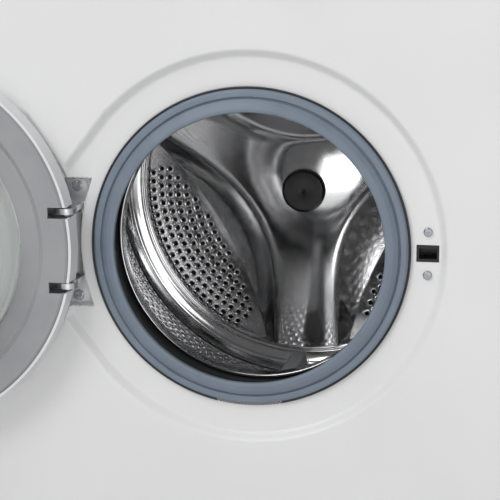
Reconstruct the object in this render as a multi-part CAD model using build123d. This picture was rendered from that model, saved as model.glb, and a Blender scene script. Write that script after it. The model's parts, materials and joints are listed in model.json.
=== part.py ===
from build123d import *
from math import cos, degrees, pi, radians, sin, sqrt
import os

# Front-loading washing machine, in millimetres. The front faces -Y, +X is to the viewer's right and
# +Z is up. The origin is on the floor, under the middle of the cabinet. "Depth" is measured from the
# plane of the front panel towards the back, so what stands in front of the panel has a negative depth.
# Parts of the door are drawn shut and then swung open about the hinge.

# Cabinet
WIDTH = 598
DEPTH = 560
HEIGHT = 848
SHEET = 1.0
CABINET_BOTTOM = 22
PANEL_TOP = 736
PANEL_RETURN = 20
TOP_COVER_BOTTOM = 826
TRANSIT_HOLES = [(x, z) for x in (-225, 225) for z in (300, 560)]
COVER_SCREWS = [(x, z) for x in (-195, 195) for z in (200, 435, 670)]

# Porthole, dish and hinge pocket of the front panel
PORT_Z = 432
PORT_RADIUS = 172
DISH_RIM_RADIUS = 222
DISH_FLOOR_RADIUS = 211
DISH_DEPTH = 9
POCKET_DEPTH = 21
POCKET_RADIUS = 193
POCKET_LEFT = -228
POCKET_HALF_HEIGHT = 74
HINGE_SCREW_X = -199
HINGE_SCREW_Z = 63
HINGE_SEAT = 17.7

# Door and its hinge and latch
DOOR_RADIUS = 212
DOOR_FRONT = -44
WINDOW_RADIUS = 149
PIVOT_X = -201
PIVOT_DEPTH = -25
EAR_Z = 42
EAR_THICKNESS = 6.5
PIN_RADIUS = 3
RUNNING_GAP = 0.06
LATCH_X = 198
LOCK_SCREW_Z = 24
HOOK_DEPTH = -16

# Gasket
GASKET_RADIUS = 177.6
GASKET_MOUTH = 152
GASKET_WALL = 3
WIRE_RADIUS = 1.3
SPRING_SPAN = 26
CURLS = 20
CURL_RADIUS = 2.0
CURL_WIRE = 0.55

# Drum
DRUM_RADIUS = 250
DRUM_SHEET = 1.2
LIP_RADIUS = 161.5
LIP_DEPTH = 68
DRUM_FRONT = 97
DRUM_END = 472
HUB_DEPTH = 417
HUB_RADIUS = 46
LEAF_DEPTH = 465
LEAF_RADIUS = 219
ARM_END = 453.5
BEAD_RADIUS = 235
FLANGE_FRONT = 422
ARM_ANGLES = (30, 150, 270)
LEAF_ANGLES = (90, 210, 330)
HOLE_RADIUS = 2.4
HOLE_COUNTS = (6, 11, 15, 18, 21, 22, 22)
HOLE_PITCH = 11.8
ROW_STEP = 11.4
FIRST_ROW = 146.6

# Tub and drive
TUB_RADIUS = 262
TUB_WALL = 4
NECK_RADIUS = 167
TUB_FRONT = 78
TUB_JOINT = 270
TUB_BACK = 478
FRONT_BEARING = (15, 31, 468, 484)
REAR_BEARING = (12.5, 26, 490, 505)
PULLEY_RADIUS = 140
PULLEY_DEPTH = 508
PULLEY_WIDTH = 14
MOTOR_X = 70
MOTOR_Z = 98
MOTOR_RADIUS = 52
MOTOR_PULLEY_RADIUS = 11
BELT_GAP = 0.4

# Suspension
STRUT_DEPTH = 380
SPRING_X = 215
SPRING_TOP = 796
SPRING_BOTTOM = 612
SPRING_RADIUS = 15
SPRING_TURNS = 14
SPRING_WIRE = 1.8
DAMPER_FOOT = (235, 56)
DAMPER_HEAD = (206, 236)

# Water ways
FILTER_X = 203
FILTER_Z = 88
FLAP_LEFT = 150
FLAP_RIGHT = 256
FLAP_BOTTOM = 44
FLAP_TOP = 132
FLAP_PIVOT_DEPTH = 3.5
FLAP_PIVOT_Z = 48
SUMP_X = 60
SUMP_DEPTH = 120
INLET_X = -200
INLET_DEPTH = 292
VALVE_X = 230
VALVE_Z = 772
DRAIN_X = -235
DRAIN_Z = 705

# Control panel
DRAWER_LEFT = -286
DRAWER_RIGHT = -118
DRAWER_BOTTOM = 748
DRAWER_TOP = 816
DRAWER_SPLITS = (-283, -232, -176, -121)
FASCIA_FRONT = -9
DISPLAY = (92, 208)
DISPLAY_Z = (760, 806)
KNOB_X = 25
CONTROL_Z = 781
POWER_X = -62
START_X = 252
START_Z = 766
OPTION_Z = 801

FOOT_X = 255
FOOT_DEPTHS = (62, 505)

FRONT_Y = -DEPTH / 2
PORT_AXIS = Axis((0, 0, PORT_Z), (0, 1, 0))


def at(depth):
    """Y of the plane that lies this deep behind the front."""
    return FRONT_Y + depth


def block(x0, x1, depth0, depth1, z0, z1):
    """Box between two corners."""
    size = Box(x1 - x0, depth1 - depth0, z1 - z0)
    return Pos((x0 + x1) / 2, at((depth0 + depth1) / 2), (z0 + z1) / 2) * size


def soft_block(radius, *limits):
    """Box with its four edges along Y rounded."""
    box = block(*limits)
    return fillet(box.edges().filter_by(Axis.Y), radius)


def bar(radius, depth0, depth1, x=0, z=PORT_Z):
    """Round bar along Y."""
    return Pos(x, at((depth0 + depth1) / 2), z) * Rot(90, 0, 0) * Cylinder(radius, depth1 - depth0)


def post(radius, z0, z1, x, depth):
    """Upright round bar."""
    return Pos(x, at(depth), (z0 + z1) / 2) * Cylinder(radius, z1 - z0)


def rod(radius, start, end):
    """Round bar between two points."""
    line = Line(start, end)
    return extrude(Plane(start, z_dir=line % 0) * Circle(radius), line.length)


def spun(*outline):
    """Body turned about the porthole's axis from a closed outline of (radius, depth) points."""
    face = make_face(Polyline(*[(r, at(d)) for r, d in outline], close=True))
    return revolve(Pos(0, 0, PORT_Z) * face, PORT_AXIS)


def spun_wall(thickness, bend, side, *path):
    """Turned wall of even thickness, on one side of a path of (radius, depth) points."""
    line = FilletPolyline(*[(r, at(d)) for r, d in path], radius=bend)
    face = make_face(offset(line, thickness, side=side))
    return revolve(Pos(0, 0, PORT_Z) * face, PORT_AXIS)


def half_turn(point, turn):
    """Two arcs that join smoothly and follow half a turn of a winding."""
    start, end = point(turn), point(turn + 0.5)
    out = (point(turn + 0.01) - point(turn - 0.01)).normalized()
    back = (point(turn + 0.51) - point(turn + 0.49)).normalized()
    span = end - start
    square = 2 * (1 - out.dot(back))
    linear = span.dot(out + back)
    reach = (sqrt(linear * linear + square * span.dot(span)) - linear) / square
    middle = (start + end + (out - back) * reach) * 0.5
    first = TangentArc(start, middle, tangent=out)
    return [first, TangentArc(middle, end, tangent=first % 1)]


def winding(label, point, turns, wire_radius):
    """Path of a coil through point(turn). Prints the least gap that the wire leaves between its turns."""
    steps = 16
    points = [point(i / steps) for i in range(turns * steps + 1)]
    nearest = min((p - q).length for i, p in enumerate(points) for q in points[i + steps // 2:])
    print(f"{label}: least gap {nearest - 2 * wire_radius:.2f} mm")
    return Wire([arc for i in range(2 * turns) for arc in half_turn(point, i / 2)])


def wire_along(path, radius):
    """Round wire swept along a path."""
    return sweep(Plane(path @ 0, z_dir=path % 0) * Circle(radius), path)


def around(angle, radius):
    """X and Z of a point at this angle and radius about the porthole's axis."""
    return radius * cos(radians(angle)), PORT_Z + radius * sin(radians(angle))


def turned(angle):
    """Turn about the porthole's axis, counter-clockwise for someone in front."""
    return Pos(0, 0, PORT_Z) * Rot(0, -angle, 0) * Pos(0, 0, -PORT_Z)


def both_sides(part):
    """The part and its mirror image across the middle of the cabinet."""
    return part + mirror(part, Plane.YZ)


def swung_open(part):
    """A part of the shut door, turned half round about the hinge."""
    return Pos(PIVOT_X, at(PIVOT_DEPTH), 0) * Rot(0, 0, 180) * Pos(-PIVOT_X, -at(PIVOT_DEPTH), 0) * part


def cross_recess(x, z, depth):
    """Cross-shaped driver recess of a screw head."""
    slot = block(x - 2.6, x + 2.6, depth - 1, depth + 1.6, z - 0.6, z + 0.6)
    return slot + block(x - 0.6, x + 0.6, depth - 1, depth + 1.6, z - 2.6, z + 2.6)


def pan_screw(x, z, seat, head_radius, shank_radius, length):
    """Screw whose dished head sits on the plane at depth "seat"."""
    head = bar(head_radius, seat - 3, seat, x, z)
    head = fillet(head.edges().sort_by(Axis.Y)[0], 1.6)
    return head + bar(shank_radius, seat, seat + length, x, z) - cross_recess(x, z, seat - 3)


# Cabinet


def pressed_tray(part, size, centre, turn, press):
    """Sheet wall with a shallow pan pressed in: "turn" lays the pan's outline on the wall."""
    place = Pos(*centre) * turn
    opening = place * extrude(RectangleRounded(*size, 40), press, both=True)
    pan = place * extrude(RectangleRounded(*size, 40), -press)
    inside = RectangleRounded(size[0] - 2 * SHEET, size[1] - 2 * SHEET, 40 - SHEET)
    hollow = place * Pos(0, 0, SHEET - press) * extrude(inside, press)
    return part - opening + (pan - hollow)


def cabinet_wrap():
    half = WIDTH / 2
    outer = block(-half, half, PANEL_RETURN + 0.5, DEPTH, 24, TOP_COVER_BOTTOM - 2)
    outer = fillet(outer.edges().filter_by(Axis.Z).sort_by(Axis.Y)[-2:], 10)
    inner = block(-half + SHEET, half - SHEET, 0, DEPTH - SHEET, 0, HEIGHT)
    inner = fillet(inner.edges().filter_by(Axis.Z).sort_by(Axis.Y)[-2:], 9)
    wrap = outer - inner
    # Flanges that carry the front panel and the top cover
    side = block(half - 12, half - 0.5, PANEL_RETURN + 0.5, PANEL_RETURN + 0.5 + SHEET, 24, 824)
    side += block(half - 12, half - 0.5, PANEL_RETURN + 0.5, DEPTH - 10, 823, 824)
    wrap += both_sides(side)
    # Pan pressed into each side to stiffen it
    for end in (-1, 1):
        turn = Rot(0, 90 * end, 0)
        wrap = pressed_tray(wrap, (540, 380), (end * half, at(295), 420), turn, 4)
    # Service opening and the holes for transit bolts, cover screws, water inlet, drain and mains lead
    wrap -= soft_block(30, -190, 190, DEPTH - 5, DEPTH + 5, 190, 680)
    for x, z in TRANSIT_HOLES:
        wrap -= bar(13, DEPTH - 5, DEPTH + 5, x, z)
    for x, z in COVER_SCREWS:
        wrap -= bar(2.4, DEPTH - 5, DEPTH + 5, x, z)
    wrap -= bar(14, DEPTH - 5, DEPTH + 5, VALVE_X, VALVE_Z)
    wrap -= bar(12, DEPTH - 5, DEPTH + 5, DRAIN_X, DRAIN_Z)
    wrap -= bar(7, DEPTH - 5, DEPTH + 5, DRAIN_X, 770)
    return wrap


def rear_cover():
    cover = soft_block(36, -202, 202, DEPTH, DEPTH + SHEET, 178, 692)
    pan = Pos(0, at(DEPTH), 435) * Rot(-90, 0, 0)
    dome = extrude(RectangleRounded(330, 430, 40), 10, taper=20)
    cover = cover + pan * dome - pan * Pos(0, 0, -SHEET) * dome
    for x, z in COVER_SCREWS:
        cover -= bar(2.4, DEPTH - 1, DEPTH + 2, x, z)
    # Air slots below the pan
    for i in range(7):
        cover -= soft_block(1.9, -66 + 20 * i, -54 + 20 * i, DEPTH - 1, DEPTH + 2, 196, 200)
    return cover


def rear_screws():
    screws = Part()
    for x, z in COVER_SCREWS:
        head = bar(4.5, DEPTH + SHEET, DEPTH + SHEET + 2.6, x, z)
        head = fillet(head.edges().sort_by(Axis.Y)[-1], 1.5)
        screws += head + bar(2.2, DEPTH - 7, DEPTH + SHEET, x, z)
    return screws


def transit_caps():
    caps = Part()
    for x, z in TRANSIT_HOLES:
        rim = bar(18, DEPTH, DEPTH + 3, x, z)
        rim = fillet(rim.edges().sort_by(Axis.Y)[-1], 2)
        caps += rim + bar(12.7, DEPTH - 12, DEPTH, x, z) - bar(10, DEPTH - 13, DEPTH - 1.5, x, z)
    return caps


def front_recess(grow):
    """The dish, its flare towards the hinge side and the hinge pocket, grown all round."""
    slope = (DISH_RIM_RADIUS - DISH_FLOOR_RADIUS) / DISH_DEPTH
    floor = DISH_DEPTH + grow
    rim = DISH_RIM_RADIUS + grow + slope
    dish = spun((0, -1), (rim, -1), (rim - slope * (floor + 1), floor), (0, floor))
    # The rim runs straight on from the round to the neck, and the flare widens from there to the left
    front = Plane((0, at(-1), PORT_Z), x_dir=(1, 0, 0), z_dir=(0, -1, 0))
    mouth = front * Polyline((-175 - grow, -137), (-213 - grow, -88 - grow),
                             (-213 - grow, 88 + grow), (-175 - grow, 137), close=True)
    sunk = front.offset(-1 - floor) * Polyline((-166 - grow, -130), (-204 - grow, -81 - grow),
                                               (-204 - grow, 81 + grow), (-166 - grow, 130), close=True)
    neck = loft([make_face(mouth), make_face(sunk)], ruled=True)
    near = Plane((-200, 0, PORT_Z), x_dir=(0, 1, 0), z_dir=(-1, 0, 0))
    far = Plane((-291, 0, PORT_Z), x_dir=(0, 1, 0), z_dir=(-1, 0, 0))
    near_face = near * make_face(Polyline(
        (at(-1), -70 - grow), (at(floor), -58 - grow), (at(floor), 58 + grow), (at(-1), 70 + grow),
        close=True))
    far_face = far * make_face(Polyline(
        (at(-1), -212 - grow), (at(0.2 + grow), -206 - grow), (at(0.2 + grow), 206 + grow),
        (at(-1), 212 + grow), close=True))
    flare = neck + loft([near_face, far_face], ruled=True)
    pocket = soft_block(9 + grow, POCKET_LEFT - grow, -150, 0, POCKET_DEPTH + grow,
                        PORT_Z - POCKET_HALF_HEIGHT - grow, PORT_Z + POCKET_HALF_HEIGHT + grow)
    pocket -= bar(POCKET_RADIUS - grow, -5, 50)
    return dish + flare + pocket


def front_panel():
    half = WIDTH / 2
    outer = block(-half, half, 0, PANEL_RETURN, CABINET_BOTTOM, PANEL_TOP)
    outer = fillet(outer.faces().sort_by(Axis.Y)[0].edges(), 6)
    inner = block(-half + SHEET, half - SHEET, SHEET, 40, CABINET_BOTTOM + SHEET, PANEL_TOP - SHEET)
    inner = fillet(inner.faces().sort_by(Axis.Y)[0].edges(), 5)
    inner += block(-200, 200, 20, 60, PORT_Z - 100, PORT_Z + 100)
    liner = front_recess(SHEET)
    panel = outer + (liner - block(-half, half, -20, SHEET, 0, PANEL_TOP)) - front_recess(0) - (inner - liner)
    panel -= bar(PORT_RADIUS + 0.6, -5, 30)
    panel += spun((PORT_RADIUS, DISH_DEPTH), (PORT_RADIUS + 1.2, DISH_DEPTH),
                  (PORT_RADIUS + 1.2, DISH_DEPTH + 14), (PORT_RADIUS, DISH_DEPTH + 14))
    # Latch hole, screw holes and the opening for the pump filter
    panel -= block(LATCH_X - 12.5, LATCH_X + 12.5, 5, 15, PORT_Z - 9.5, PORT_Z + 9.5)
    for end in (-1, 1):
        panel -= bar(2.2, 5, 15, LATCH_X, PORT_Z + end * LOCK_SCREW_Z)
        panel -= bar(3, 10, 30, HINGE_SCREW_X, PORT_Z + end * HINGE_SCREW_Z)
    panel -= soft_block(2, FLAP_LEFT, FLAP_RIGHT, -1, 5, FLAP_BOTTOM, FLAP_TOP)
    # Ears that hold the flap's pins
    for x0, x1 in ((FLAP_LEFT - 3.6, FLAP_LEFT - 0.4), (FLAP_RIGHT + 0.4, FLAP_RIGHT + 3.6)):
        panel += block(x0, x1, 0.5, 7, FLAP_BOTTOM - 1, FLAP_BOTTOM + 9)
    pin = Pos((FLAP_LEFT + FLAP_RIGHT) / 2, at(FLAP_PIVOT_DEPTH), FLAP_PIVOT_Z) * Rot(0, 90, 0)
    return panel - pin * Cylinder(1.5 + RUNNING_GAP, FLAP_RIGHT - FLAP_LEFT + 20)


def service_flap():
    flap = soft_block(1.5, FLAP_LEFT + 1, FLAP_RIGHT - 1, 0, 2.4, FLAP_BOTTOM + 1.6, FLAP_TOP - 0.8)
    # Finger dip at the upper edge
    dip = Pos((FLAP_LEFT + FLAP_RIGHT) / 2, at(-4), FLAP_TOP) * Rot(0, 90, 0) * Cylinder(5.6, 26)
    flap -= dip
    place = Pos((FLAP_LEFT + FLAP_RIGHT) / 2, at(FLAP_PIVOT_DEPTH), FLAP_PIVOT_Z) * Rot(0, 90, 0)
    pins = place * Cylinder(1.5, FLAP_RIGHT - FLAP_LEFT + 6)
    gap = place * Cylinder(5, FLAP_RIGHT - FLAP_LEFT - 14)
    lug = place * Cylinder(2.2, FLAP_RIGHT - FLAP_LEFT - 3)
    return flap + (lug + pins - gap)


def base_tray():
    floor = Pos(0, at((DEPTH + 20) / 2), CABINET_BOTTOM + 2)
    tray = floor * extrude(RectangleRounded(594, DEPTH - 26, 12), 46)
    tray -= floor * Pos(0, 0, 3) * extrude(RectangleRounded(588, DEPTH - 32, 9), 46)
    # Bosses for the feet, joined to the walls by ribs
    for depth in FOOT_DEPTHS:
        tray += both_sides(post(20, CABINET_BOTTOM, 60, FOOT_X, depth))
        tray += both_sides(block(FOOT_X, 295, depth - 2, depth + 2, CABINET_BOTTOM + 3, 60))
    for depth in (190, 460):
        tray += block(-295, 295, depth - 1.5, depth + 1.5, CABINET_BOTTOM + 3, 36)
    # Lugs for the dampers
    x, z = DAMPER_FOOT
    tray += both_sides(block(x - 11, x + 11, STRUT_DEPTH - 13, STRUT_DEPTH - 8.5, CABINET_BOTTOM + 3, z + 4))
    tray += both_sides(block(x - 11, x + 11, STRUT_DEPTH + 8.5, STRUT_DEPTH + 13, CABINET_BOTTOM + 3, z + 4))
    # Room in the front wall for the grip of the pump filter
    tray -= bar(40, 20, 30, FILTER_X, FILTER_Z)
    # Pan opened in the middle for air
    tray -= Pos(0, at(325), CABINET_BOTTOM) * extrude(RectangleRounded(280, 200, 30), 20, both=True)
    for depth in FOOT_DEPTHS:
        tray -= both_sides(post(5.4, 0, 80, FOOT_X, depth))
    return tray


def foot(x, depth):
    pad = post(22, 0, 9, x, depth)
    pad = fillet(pad.edges().sort_by(Axis.Z)[0], 2)
    pad = chamfer(pad.edges().sort_by(Axis.Z)[-1], 5, 9)
    collar = Pos(x, at(depth), 9) * extrude(RegularPolygon(10, 6), CABINET_BOTTOM - 9.4)
    return pad + collar + post(5, 9, 58, x, depth)


def crossbars():
    bars = Part()
    for depth in (45, STRUT_DEPTH):
        channel = block(-297.5, 297.5, depth - 16, depth + 16, 802, 822.5)
        channel -= block(-300, 300, depth - 14.5, depth + 14.5, 803.5, 830)
        bars += channel
    return bars


def top_cover():
    half = WIDTH / 2
    board = block(-half, half, -6, DEPTH, TOP_COVER_BOTTOM, HEIGHT)
    board = fillet(board.edges().filter_by(Axis.Z), 9)
    board = fillet(board.faces().sort_by(Axis.Z)[-1].edges(), 4)
    board -= block(-half + 4, half - 4, -2, DEPTH - 4, TOP_COVER_BOTTOM - 1, HEIGHT - 14)
    return board


# Control panel and dispenser


def control_panel():
    half = WIDTH / 2
    side = Plane((-half, 0, 0), x_dir=(0, 1, 0), z_dir=(1, 0, 0))
    outline = FilletPolyline(
        (at(20), 737), (at(-5), 737), (at(FASCIA_FRONT), 742), (at(FASCIA_FRONT), 819), (at(-6), 825),
        (at(20), 825), radius=3, close=True)
    shell = extrude(side * make_face(outline), WIDTH)
    shell -= block(-half + 3, half - 3, FASCIA_FRONT + 3, 30, 742, 821)
    shell -= soft_block(6, DRAWER_LEFT, DRAWER_RIGHT, -20, 10, DRAWER_BOTTOM, DRAWER_TOP)
    shell -= bar(8, -20, 10, KNOB_X, CONTROL_Z)
    shell -= bar(9.5, -20, 10, POWER_X, CONTROL_Z)
    shell -= bar(13.5, -20, 10, START_X, START_Z)
    shell -= soft_block(5.4, START_X - 16.5, START_X + 16.5, -20, 10, OPTION_Z - 5.5, OPTION_Z + 5.5)
    return shell - soft_block(4, *DISPLAY, FASCIA_FRONT - 1, FASCIA_FRONT + 2, *DISPLAY_Z)


def display_window():
    window = soft_block(3.7, DISPLAY[0] + 0.3, DISPLAY[1] - 0.3, FASCIA_FRONT, FASCIA_FRONT + 2,
                        DISPLAY_Z[0] + 0.3, DISPLAY_Z[1] - 0.3)
    return fillet(window.faces().sort_by(Axis.Y)[0].edges(), 0.6)


def control_board():
    tray = block(40, 285, 26, 58, 744, 798)
    tray -= block(43, 282, 20, 55, 747, 795)
    board = block(43, 282, 34, 36, 747, 795)
    for i in range(5):
        board += block(60 + 42 * i, 84 + 42 * i, 36, 46, 756, 780)
    return tray + board


def programme_knob():
    knob = bar(27, -31, -12, KNOB_X, CONTROL_Z)
    knob = fillet(knob.edges().sort_by(Axis.Y)[0], 3)
    for i in range(24):
        groove = Rot(0, 15 * i, 0) * Pos(28.2, 0, 0) * Rot(90, 0, 0) * Cylinder(1.8, 15)
        knob -= Pos(KNOB_X, at(-19), CONTROL_Z) * groove
    knob += bar(30, -12, FASCIA_FRONT - 0.6, KNOB_X, CONTROL_Z)
    knob += bar(7, FASCIA_FRONT - 0.6, 12, KNOB_X, CONTROL_Z)
    return knob - block(KNOB_X - 1, KNOB_X + 1, -32, -30.2, CONTROL_Z + 8, CONTROL_Z + 24)


def round_button(radius, x, z):
    cap = bar(radius, -12, -2, x, z)
    cap = fillet(cap.edges().sort_by(Axis.Y)[0], 1.5)
    return cap + bar(radius + 2.5, -4.5, -2, x, z) + bar(3, -2, 14, x, z)


def option_button():
    cap = soft_block(4.9, START_X - 16, START_X + 16, -12, -2, OPTION_Z - 5, OPTION_Z + 5)
    cap = fillet(cap.faces().sort_by(Axis.Y)[0].edges(), 1.2)
    flange = block(START_X - 18.5, START_X + 18.5, -4.5, -2, OPTION_Z - 7, OPTION_Z + 7)
    return cap + flange + bar(3, -2, 14, START_X, OPTION_Z)


def drawer_front():
    front = soft_block(5.4, DRAWER_LEFT + 0.6, DRAWER_RIGHT - 0.6, FASCIA_FRONT, 4,
                       DRAWER_BOTTOM + 0.6, DRAWER_TOP - 0.6)
    front = fillet(front.faces().sort_by(Axis.Y)[0].edges(), 1.5)
    # Grip scooped out behind the lower edge
    middle = (DRAWER_LEFT + DRAWER_RIGHT) / 2
    scoop = Pos(middle, at(3), DRAWER_BOTTOM + 4) * Rot(0, 90, 0) * Cylinder(9.5, 130)
    return front - scoop


def drawer_box():
    box = block(-283, -121, 4, 300, DRAWER_BOTTOM + 2, 793)
    for left, right in zip(DRAWER_SPLITS, DRAWER_SPLITS[1:]):
        room = soft_block(0.8, left + 2.4, right - 2.4, 16, 290, DRAWER_BOTTOM + 5, 800)
        box -= fillet(room.edges().filter_by(Axis.Z), 6)
    # Slots that let the water out at the back
    for left, right in zip(DRAWER_SPLITS, DRAWER_SPLITS[1:]):
        box -= block(left + 12, right - 12, 285, 305, DRAWER_BOTTOM + 5, DRAWER_BOTTOM + 13)
    return box


def dispenser_housing():
    box = block(-290, -114, 22, 332, 744, 798)
    box -= block(-287, -117, 15, 329, 747, 795)
    box += post(20, 724, 746, INLET_X, INLET_DEPTH + 22)
    box -= post(17, 700, 750, INLET_X, INLET_DEPTH + 22)
    # Water spigots on the back wall
    for x in (-150, -180):
        box += bar(7, 329, 350, x, 780) - bar(5, 325, 360, x, 780)
    return box


def dispenser_hose():
    """Ribbed rubber hose from the dispenser down to the tub."""
    ribs = 7
    pitch = 10
    foot_z = 648
    outline = [(20.4, 636), (20.4, 742), (23.4, 742), (23.4, foot_z + pitch * ribs + 2)]
    for i in reversed(range(ribs)):
        z = foot_z + pitch * i
        outline += [(28, z + 7.5), (28, z + 4.5), (23.4, z + 1)]
    outline += [(23.4, 636)]
    face = Plane.XZ * make_face(Polyline(*outline, close=True))
    return Pos(INLET_X, at(INLET_DEPTH + 22), 0) * revolve(face, Axis.Z)


def inlet_valve():
    body = block(VALVE_X - 22, VALVE_X + 22, 506, 548, VALVE_Z - 16, VALVE_Z + 16)
    body = fillet(body.edges().filter_by(Axis.Y), 5)
    body += bar(12.4, 548, 561, VALVE_X, VALVE_Z) + bar(13.2, 560.5, 584, VALVE_X, VALVE_Z)
    body += bar(17, 548, DEPTH - SHEET, VALVE_X, VALVE_Z)
    body -= bar(9, 530, 590, VALVE_X, VALVE_Z)
    # Two coils, and the spigot that feeds the dispenser
    for x in (VALVE_X - 11, VALVE_X + 11):
        body += post(9.5, VALVE_Z - 48, VALVE_Z - 15, x, 526)
    return body + bar(6, 486, 507, VALVE_X, VALVE_Z) - bar(4, 480, 520, VALVE_X, VALVE_Z)


def drain_outlet():
    plate = bar(19, DEPTH, DEPTH + 3, DRAIN_X, DRAIN_Z)
    spigot = bar(10.4, DEPTH - 24, DEPTH + 5, DRAIN_X, DRAIN_Z)
    spigot += bar(11, DEPTH + 4.5, DEPTH + 34, DRAIN_X, DRAIN_Z)
    return plate + spigot - bar(8.5, DEPTH - 30, DEPTH + 40, DRAIN_X, DRAIN_Z)


# Door, hinge and lock


def hinge_bracket():
    plate = soft_block(8, POCKET_LEFT + 3, -187, POCKET_DEPTH - 2.5, POCKET_DEPTH,
                       PORT_Z - POCKET_HALF_HEIGHT + 3, PORT_Z + POCKET_HALF_HEIGHT - 3)
    plate -= bar(POCKET_RADIUS + 1.5, 0, 40)
    # Bridge pressed forward between the ears
    bridge = post(14, PORT_Z - 35, PORT_Z + 35, -208, POCKET_DEPTH - 2.5)
    bridge -= post(11.5, PORT_Z - 40, PORT_Z + 40, -208, POCKET_DEPTH - 2.5)
    bridge -= block(-230, -180, POCKET_DEPTH - 2.5, 60, PORT_Z - 50, PORT_Z + 50)
    plate += bridge
    for z in (PORT_Z - EAR_Z, PORT_Z + EAR_Z):
        low, high = z - EAR_THICKNESS / 2, z + EAR_THICKNESS / 2
        ear = block(PIVOT_X - 9, PIVOT_X + 9, PIVOT_DEPTH, POCKET_DEPTH - 1, low, high)
        ear += post(12.5, low, high, PIVOT_X, PIVOT_DEPTH)
        plate += ear - post(PIN_RADIUS + RUNNING_GAP, low - 1, high + 1, PIVOT_X, PIVOT_DEPTH)
    for z in (PORT_Z - HINGE_SCREW_Z, PORT_Z + HINGE_SCREW_Z):
        plate += bar(8.6, HINGE_SEAT, POCKET_DEPTH - 2, HINGE_SCREW_X, z)
        plate -= bar(3.2, 0, 40, HINGE_SCREW_X, z)
    return plate


def front_screws():
    screws = Part()
    for end in (-1, 1):
        screws += pan_screw(HINGE_SCREW_X, PORT_Z + end * HINGE_SCREW_Z, HINGE_SEAT, 6.2, 2.9, 10)
        screws += pan_screw(LATCH_X, PORT_Z + end * LOCK_SCREW_Z, DISH_DEPTH, 5, 2, 12)
    return screws


def door_lock():
    body = soft_block(4, LATCH_X - 12, LATCH_X + 16, 10.3, 38, PORT_Z - 36, PORT_Z + 36)
    body += soft_block(1.5, LATCH_X - 12, LATCH_X + 12, DISH_DEPTH - 0.6, 12, PORT_Z - 9, PORT_Z + 9)
    body -= block(LATCH_X - 9.5, LATCH_X + 10, 0, 34, PORT_Z - 6, PORT_Z + 6)
    for end in (-1, 1):
        body -= bar(2.1, 5, 25, LATCH_X, PORT_Z + end * LOCK_SCREW_Z)
    return body


def hinge_notches():
    """Slots in the door's rim where the ears of the hinge enter."""
    notch = Part()
    for z in (PORT_Z - EAR_Z, PORT_Z + EAR_Z):
        notch += block(-DOOR_RADIUS - 4, PIVOT_X + 15, DOOR_FRONT - 2, 2, z - 6.2, z + 6.2)
    return notch


def door_frame():
    ring = spun_wall(3, 7, Side.RIGHT, (DOOR_RADIUS, -3), (DOOR_RADIUS, -34), (202, DOOR_FRONT),
                     (162, DOOR_FRONT), (WINDOW_RADIUS, -34), (WINDOW_RADIUS, -16))
    # Finger cup on the latch side
    cup = soft_block(9, 160, 191, DOOR_FRONT + 2, -21, PORT_Z - 42, PORT_Z + 42)
    hollow = soft_block(7, 162.5, 188.5, DOOR_FRONT - 5, -23.5, PORT_Z - 39.5, PORT_Z + 39.5)
    hollow = fillet(hollow.faces().sort_by(Axis.Y)[-1].edges(), 5)
    return ring + cup - hollow - hinge_notches()


def door_trim():
    ring = spun((208.4, -9), (208.4, -4.5), (206, -2.5), (180, -2.5), (174.5, -6.7), (154, -6.7), (154, -9.7),
                (173.5, -9.7), (179, -5.5), (204.5, -5.5), (205.4, -9))
    # Lugs for the hook's pin and the slot that the hook comes through
    for end in (-1, 1):
        ring += block(LATCH_X - 6, LATCH_X + 6, -22, -4, PORT_Z + end * 7.5 - 3, PORT_Z + end * 7.5 + 3)
    ring -= post(2.5 + RUNNING_GAP, PORT_Z - 20, PORT_Z + 20, LATCH_X, HOOK_DEPTH)
    ring -= block(LATCH_X - 11, LATCH_X + 7.5, -12, 0, PORT_Z - 4, PORT_Z + 4)
    return ring - hinge_notches()


def door_glass():
    return spun_wall(5, (5, 50, 28, 50), Side.LEFT,
                     (172, -10), (150, -10), (140, 30), (112, 66), (60, 78), (0, 78))


def door_arms():
    """Steel strap inside the door with a forked lug and pin at each ear."""
    arms = block(-172, -158, -31, -28.5, PORT_Z - 62, PORT_Z + 62)
    for z in (PORT_Z - EAR_Z, PORT_Z + EAR_Z):
        for side in (-1, 1):
            low = z + side * 4.75 - 1
            lug = post(6.5, low, low + 2, PIVOT_X, PIVOT_DEPTH)
            arms += lug + block(PIVOT_X, -160, -31, -19, low, low + 2)
        arms += post(PIN_RADIUS, z - 5.75, z + 5.75, PIVOT_X, PIVOT_DEPTH)
    return arms


def door_hook():
    hook = block(LATCH_X - 2, LATCH_X + 3, HOOK_DEPTH, 24, PORT_Z - 2.5, PORT_Z + 2.5)
    hook += block(LATCH_X + 2, LATCH_X + 8, 17, 24, PORT_Z - 2.5, PORT_Z + 2.5)
    hook += post(5, PORT_Z - 2.5, PORT_Z + 2.5, LATCH_X, HOOK_DEPTH)
    hook = fillet(hook.edges().filter_by(Axis.Z).sort_by(Axis.Y)[-2:], 3)
    return hook + post(2.5, PORT_Z - 10, PORT_Z + 10, LATCH_X, HOOK_DEPTH)


# Gasket


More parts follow.
